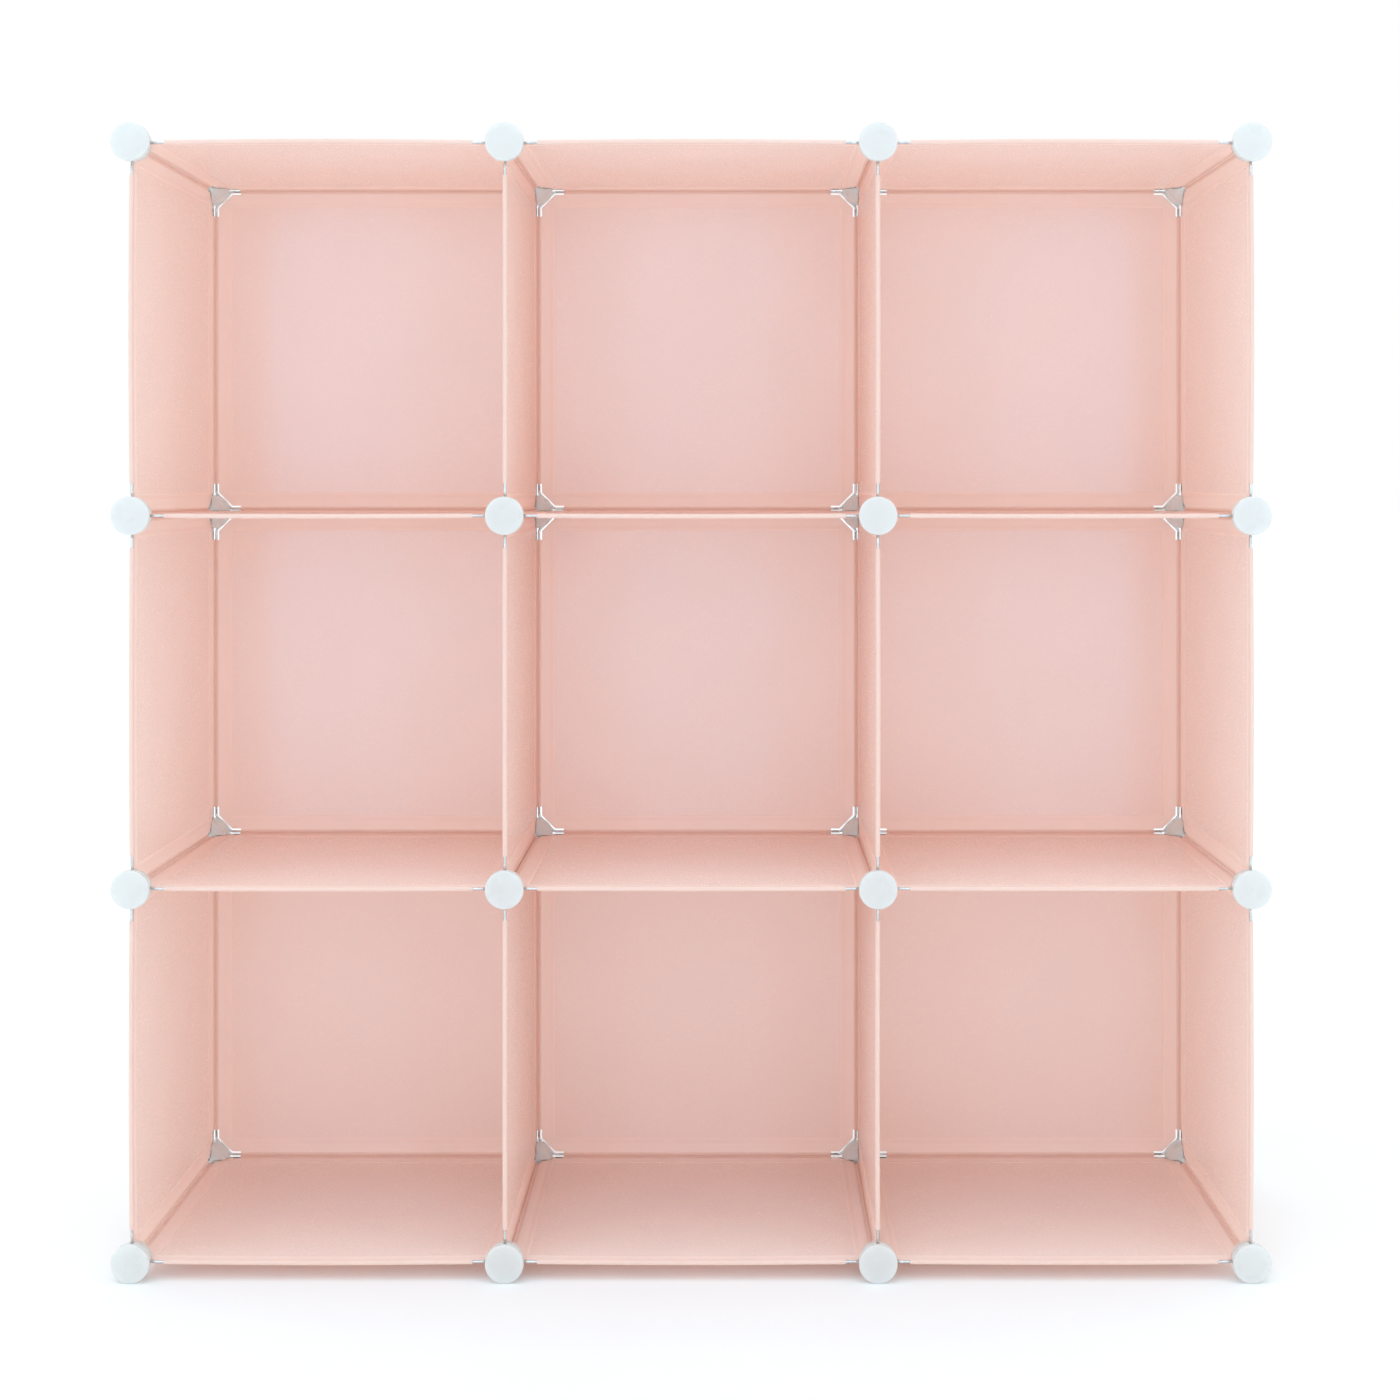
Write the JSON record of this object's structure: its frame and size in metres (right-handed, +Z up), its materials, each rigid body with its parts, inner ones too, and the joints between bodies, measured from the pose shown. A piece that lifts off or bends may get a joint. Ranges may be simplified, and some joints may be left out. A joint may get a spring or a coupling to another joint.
{
  "type": "cube storage unit",
  "caption": "Free-standing grid of open-fronted storage cubes made of wire-framed plastic panels held at their corners by round connectors.",
  "frame": {"origin": "on the floor, midway between the sides and midway between the front and rear connector caps", "axes": "+Z up, the open front faces -Y, +X to the right as seen from the front"},
  "size_m": [0.931, 0.311, 0.931],
  "materials": {
    "panel_sheet": "satin",
    "wire_steel": "gloss",
    "connector_plastic": "gloss"
  },
  "bodies": {
    "root": {"back_panel_bottom_center": "panel_sheet", "back_panel_bottom_left": "panel_sheet", "back_panel_bottom_right": "panel_sheet", "back_panel_middle_center": "panel_sheet", "back_panel_middle_left": "panel_sheet", "back_panel_middle_right": "panel_sheet", "back_panel_top_center": "panel_sheet", "back_panel_top_left": "panel_sheet", "back_panel_top_right": "panel_sheet", "back_wire_frame_bottom_center": "wire_steel", "back_wire_frame_bottom_left": "wire_steel", "back_wire_frame_bottom_right": "wire_steel", "back_wire_frame_middle_center": "wire_steel", "back_wire_frame_middle_left": "wire_steel", "back_wire_frame_middle_right": "wire_steel", "back_wire_frame_top_center": "wire_steel", "back_wire_frame_top_left": "wire_steel", "back_wire_frame_top_right": "wire_steel", "bottom_panel_center": "panel_sheet", "bottom_panel_left": "panel_sheet", "bottom_panel_right": "panel_sheet", "bottom_wire_frames": "wire_steel", "front_connectors_bottom": "connector_plastic", "front_connectors_lower": "connector_plastic", "front_connectors_top": "connector_plastic", "front_connectors_upper": "connector_plastic", "left_divider_panel_bottom": "panel_sheet", "left_divider_panel_middle": "panel_sheet", "left_divider_panel_top": "panel_sheet", "left_divider_wire_frames": "wire_steel", "left_side_panel_bottom": "panel_sheet", "left_side_panel_middle": "panel_sheet", "left_side_panel_top": "panel_sheet", "left_side_wire_frames": "wire_steel", "lower_shelf_center": "panel_sheet", "lower_shelf_left": "panel_sheet", "lower_shelf_right": "panel_sheet", "lower_shelf_wire_frames": "wire_steel", "rear_connectors_bottom": "connector_plastic", "rear_connectors_lower": "connector_plastic", "rear_connectors_top": "connector_plastic", "rear_connectors_upper": "connector_plastic", "right_divider_panel_bottom": "panel_sheet", "right_divider_panel_middle": "panel_sheet", "right_divider_panel_top": "panel_sheet", "right_divider_wire_frames": "wire_steel", "right_side_panel_bottom": "panel_sheet", "right_side_panel_middle": "panel_sheet", "right_side_panel_top": "panel_sheet", "right_side_wire_frames": "wire_steel", "top_panel_center": "panel_sheet", "top_panel_left": "panel_sheet", "top_panel_right": "panel_sheet", "top_wire_frames": "wire_steel", "upper_shelf_center": "panel_sheet", "upper_shelf_left": "panel_sheet", "upper_shelf_right": "panel_sheet", "upper_shelf_wire_frames": "wire_steel"}
  },
  "joints": []
}
